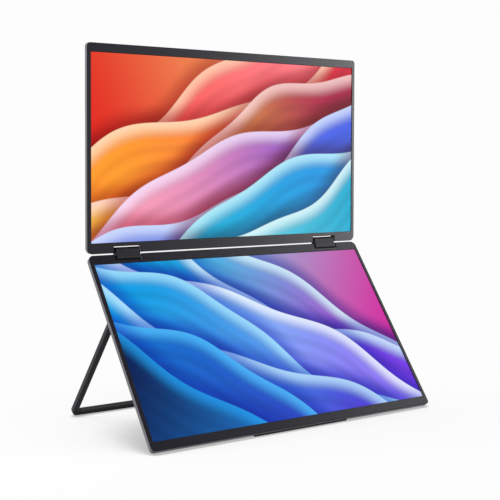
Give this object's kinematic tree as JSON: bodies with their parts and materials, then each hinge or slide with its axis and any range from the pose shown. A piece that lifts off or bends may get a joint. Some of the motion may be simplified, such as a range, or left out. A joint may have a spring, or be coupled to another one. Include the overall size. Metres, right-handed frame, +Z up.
{
  "type": "dual portable monitor",
  "caption": "Folding portable monitor: flat screens stacked on two-shaft friction hinges, propped on a U-shaped kickstand and a rubber foot, with sockets and buttons on a rear housing.",
  "frame": {"origin": "on the front foot's resting face, midway along it and under the lower screen's rounded bottom edge", "axes": "+X to the viewer's right, +Y to the back, +Z up"},
  "size_m": [0.3532, 0.1878, 0.3898],
  "materials": {
    "bezel_plastic": "fine matte moulding",
    "display_glass": "flat cell with an anti-glare front",
    "diffuser_film": "white film",
    "light_guide_acrylic": "clear moulded acrylic",
    "led_strip": "flexible strip",
    "sheet_steel": "plain plated sheet",
    "foam_tape": "double-sided foam",
    "board_laminate": "solder mask",
    "screw_steel": "black oxide",
    "cover_aluminium": "anodised, bead blasted",
    "hinge_steel": "turned and stamped steel",
    "washer_bronze": "plain bronze",
    "housing_plastic": "fine matte moulding",
    "socket_steel": "drawn shell",
    "switch_plastic": "moulded",
    "foot_rubber": "matte rubber",
    "hinge_plastic": "fine matte moulding",
    "stand_metal": "matte charcoal coat",
    "button_plastic": "fine matte moulding"
  },
  "bodies": {
    "lower_screen": {"lower_front_bezel": "bezel_plastic", "lower_lcd_cell": "display_glass", "lower_diffuser_sheet": "diffuser_film", "lower_light_guide": "light_guide_acrylic", "lower_led_strip": "led_strip", "lower_backlight_tray": "sheet_steel", "lower_mount_tape": "foam_tape", "lower_driver_board": "board_laminate", "lower_bracket_screws": "screw_steel", "lower_rear_cover": "cover_aluminium", "lower_shaft_nuts": "hinge_steel", "lower_friction_washers": "washer_bronze", "lower_disc_springs": "hinge_steel", "left_lower_hinge_bracket": "hinge_steel", "right_lower_hinge_bracket": "hinge_steel", "left_lower_hinge_shaft": "hinge_steel", "right_lower_hinge_shaft": "hinge_steel", "rear_housing": "housing_plastic", "housing_screws": "screw_steel", "main_board": "board_laminate", "board_screws": "screw_steel", "shield_can": "sheet_steel", "usb_c_sockets": "socket_steel", "mini_hdmi_socket": "socket_steel", "button_board": "board_laminate", "tact_switches": "switch_plastic", "stand_pivot_pins": "hinge_steel", "stand_washers": "washer_bronze", "front_foot": "foot_rubber"},
    "hinge_links": {"left_hinge_cover": "hinge_plastic", "left_link_plates": "hinge_steel", "right_hinge_cover": "hinge_plastic", "right_link_plates": "hinge_steel"},
    "upper_screen": {"upper_front_bezel": "bezel_plastic", "upper_lcd_cell": "display_glass", "upper_diffuser_sheet": "diffuser_film", "upper_light_guide": "light_guide_acrylic", "upper_led_strip": "led_strip", "upper_backlight_tray": "sheet_steel", "upper_mount_tape": "foam_tape", "upper_driver_board": "board_laminate", "upper_bracket_screws": "screw_steel", "upper_rear_cover": "cover_aluminium", "upper_shaft_nuts": "hinge_steel", "upper_friction_washers": "washer_bronze", "upper_disc_springs": "hinge_steel", "left_upper_hinge_bracket": "hinge_steel", "right_upper_hinge_bracket": "hinge_steel", "left_upper_hinge_shaft": "hinge_steel", "right_upper_hinge_shaft": "hinge_steel"},
    "kickstand": {"stand_frame": "stand_metal", "stand_grip": "foot_rubber"},
    "power_button": {"power_button": "button_plastic"},
    "menu_up_button": {"menu_up_button": "button_plastic"},
    "menu_down_button": {"menu_down_button": "button_plastic"}
  },
  "joints": [
    {"name": "link_fold", "type": "hinge", "parent": "lower_screen", "child": "hinge_links", "pos_m": [0, 0.12522, 0.17108], "axis": [1, 0, 0], "range_deg": [-63.5, 71.5]},
    {"name": "screen_fold", "type": "hinge", "parent": "hinge_links", "child": "upper_screen", "pos_m": [0, 0.12757, 0.1781], "axis": [1, 0, 0], "range_deg": [-63.5, 71.5]},
    {"name": "stand_swing", "type": "hinge", "parent": "lower_screen", "child": "kickstand", "pos_m": [0, 0.09065, 0.11474], "axis": [1, 0, 0], "range_deg": [-75.63, 14.4]},
    {"name": "power_press", "type": "slide", "parent": "lower_screen", "child": "power_button", "axis": [1, 0, 0], "range_m": [0, 0.0004], "stiffness_N_per_m": 2500},
    {"name": "menu_up_press", "type": "slide", "parent": "lower_screen", "child": "menu_up_button", "axis": [1, 0, 0], "range_m": [0, 0.0004], "stiffness_N_per_m": 2500},
    {"name": "menu_down_press", "type": "slide", "parent": "lower_screen", "child": "menu_down_button", "axis": [1, 0, 0], "range_m": [0, 0.0004], "stiffness_N_per_m": 2500}
  ]
}
